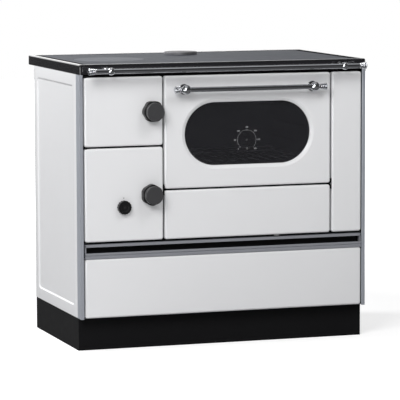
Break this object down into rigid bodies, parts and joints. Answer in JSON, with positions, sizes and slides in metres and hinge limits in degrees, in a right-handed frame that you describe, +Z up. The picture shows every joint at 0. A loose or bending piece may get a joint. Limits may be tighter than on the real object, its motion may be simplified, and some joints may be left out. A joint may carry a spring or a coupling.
{
  "type": "wood cookstove",
  "caption": "Free-standing wood-burning range cooker with side firebox, ash box, windowed oven, storage drawer, steel cooktop with lift-out hotplate and a front rail.",
  "frame": {"origin": "on the floor under the middle of the stove's whole footprint, which runs from the front of the front rail to the back of the top frame", "axes": "+X to the right across the front, +Y from the front to the back, +Z up"},
  "size_m": [0.9, 0.6316, 0.8571],
  "materials": {
    "white_enamel": "glossy white enamel",
    "black_enamel": "polished black enamel",
    "black_paint": "matt black paint",
    "satin_aluminium": "satin anodised",
    "chrome": "polished chrome",
    "cooktop_steel": "ground steel cooking surface",
    "cast_iron": "grey cast iron",
    "knob_plastic": "satin dark grey heat-resistant plastic",
    "regulator_plastic": "black heat-resistant plastic",
    "galvanised_steel": "galvanised sheet",
    "firebrick": "fireclay",
    "oven_enamel": "dark oven enamel",
    "door_glass": "dark toughened glass",
    "pointer_white": "white painted metal"
  },
  "bodies": {
    "stove": {"plinth": "black_paint", "base_plate": "galvanised_steel", "back_panel": "galvanised_steel", "side_panel_left": "white_enamel", "side_panel_right": "white_enamel", "corner_post_left": "satin_aluminium", "corner_post_right": "satin_aluminium", "front_frame": "black_paint", "right_panel": "white_enamel", "slot_trim": "satin_aluminium", "top_frame_front": "black_enamel", "top_frame_left": "black_enamel", "top_frame_right": "black_enamel", "top_frame_rear": "black_enamel", "cooktop_plate": "cooktop_steel", "flue_collar": "cast_iron", "rail_tube": "chrome", "rail_bracket_left": "chrome", "rail_bracket_right": "chrome", "rail_finial_left": "chrome", "rail_finial_right": "chrome", "drawer_runner_left": "galvanised_steel", "drawer_runner_right": "galvanised_steel", "drawer_bay_roof": "galvanised_steel", "firebox_casing": "black_paint", "firebrick_left": "firebrick", "firebrick_right": "firebrick", "firebrick_rear": "firebrick", "fire_grate": "cast_iron", "ash_pan": "galvanised_steel", "oven_box": "oven_enamel", "oven_rack": "chrome", "smoke_duct": "black_paint"},
    "fire_door": {"fire_door_shell": "white_enamel", "fire_door_liner": "cast_iron"},
    "fire_latch": {"fire_door_knob": "knob_plastic", "fire_door_latch": "galvanised_steel"},
    "ash_door": {"ash_door_shell": "white_enamel", "ash_door_liner": "cast_iron"},
    "ash_latch": {"ash_door_knob": "knob_plastic", "ash_door_latch": "galvanised_steel"},
    "air_regulator": {"air_regulator_knob": "regulator_plastic", "air_regulator_disc": "cast_iron"},
    "oven_door": {"oven_door_shell": "white_enamel", "oven_door_inner_panel": "oven_enamel", "oven_door_glass": "door_glass", "handle_tube": "chrome", "handle_bracket_left": "chrome", "handle_bracket_right": "chrome", "handle_finial_left": "chrome", "handle_finial_right": "chrome"},
    "thermometer": {"thermometer_pointer": "pointer_white"},
    "cleaning_flap": {"lower_panel": "white_enamel", "lower_panel_catch": "chrome"},
    "drawer": {"drawer_front": "white_enamel", "drawer_grip": "satin_aluminium", "drawer_box": "galvanised_steel"},
    "hotplate_ring": {"hotplate_ring": "cooktop_steel"},
    "hotplate_lid": {"hotplate_lid": "cooktop_steel"},
    "flue_cap": {"flue_cap": "cast_iron"}
  },
  "joints": [
    {"name": "fire_door_hinge", "type": "hinge", "parent": "stove", "child": "fire_door", "pos_m": [-0.43, -0.25725, 0.7095], "axis": [0, 0, -1], "range_deg": [0, 100]},
    {"name": "fire_latch_turn", "type": "hinge", "parent": "fire_door", "child": "fire_latch", "pos_m": [-0.228, -0.26325, 0.7085], "axis": [0, 1, 0], "range_deg": [0, 90]},
    {"name": "ash_door_hinge", "type": "hinge", "parent": "stove", "child": "ash_door", "pos_m": [-0.43, -0.25725, 0.464], "axis": [0, 0, -1], "range_deg": [0, 100]},
    {"name": "ash_latch_turn", "type": "hinge", "parent": "ash_door", "child": "ash_latch", "pos_m": [-0.233, -0.26325, 0.4615], "axis": [0, 1, 0], "range_deg": [0, 90]},
    {"name": "air_regulator_turn", "type": "hinge", "parent": "ash_door", "child": "air_regulator", "pos_m": [-0.3175, -0.26325, 0.427], "axis": [0, 1, 0], "range_deg": [0, 60]},
    {"name": "oven_door_hinge", "type": "hinge", "parent": "stove", "child": "oven_door", "pos_m": [0.073, -0.25725, 0.4825], "axis": [1, 0, 0], "range_deg": [0, 90]},
    {"name": "thermometer_turn", "type": "hinge", "parent": "oven_door", "child": "thermometer", "pos_m": [0.071, -0.252, 0.61425], "axis": [0, 1, 0], "range_deg": [0, 270]},
    {"name": "cleaning_flap_hinge", "type": "hinge", "parent": "stove", "child": "cleaning_flap", "pos_m": [0.073, -0.25725, 0.465], "axis": [-1, 0, 0], "range_deg": [0, 75]},
    {"name": "drawer_slide", "type": "slide", "parent": "stove", "child": "drawer", "axis": [0, -1, 0], "range_m": [0, 0.35]},
    {"name": "hotplate_ring_lift", "type": "slide", "parent": "stove", "child": "hotplate_ring", "axis": [0, 0, 1], "range_m": [0, 0.15]},
    {"name": "hotplate_lid_lift", "type": "slide", "parent": "hotplate_ring", "child": "hotplate_lid", "axis": [0, 0, 1], "range_m": [0, 0.1]},
    {"name": "flue_cap_lift", "type": "slide", "parent": "stove", "child": "flue_cap", "axis": [0, 0, 1], "range_m": [0, 0.1]}
  ]
}
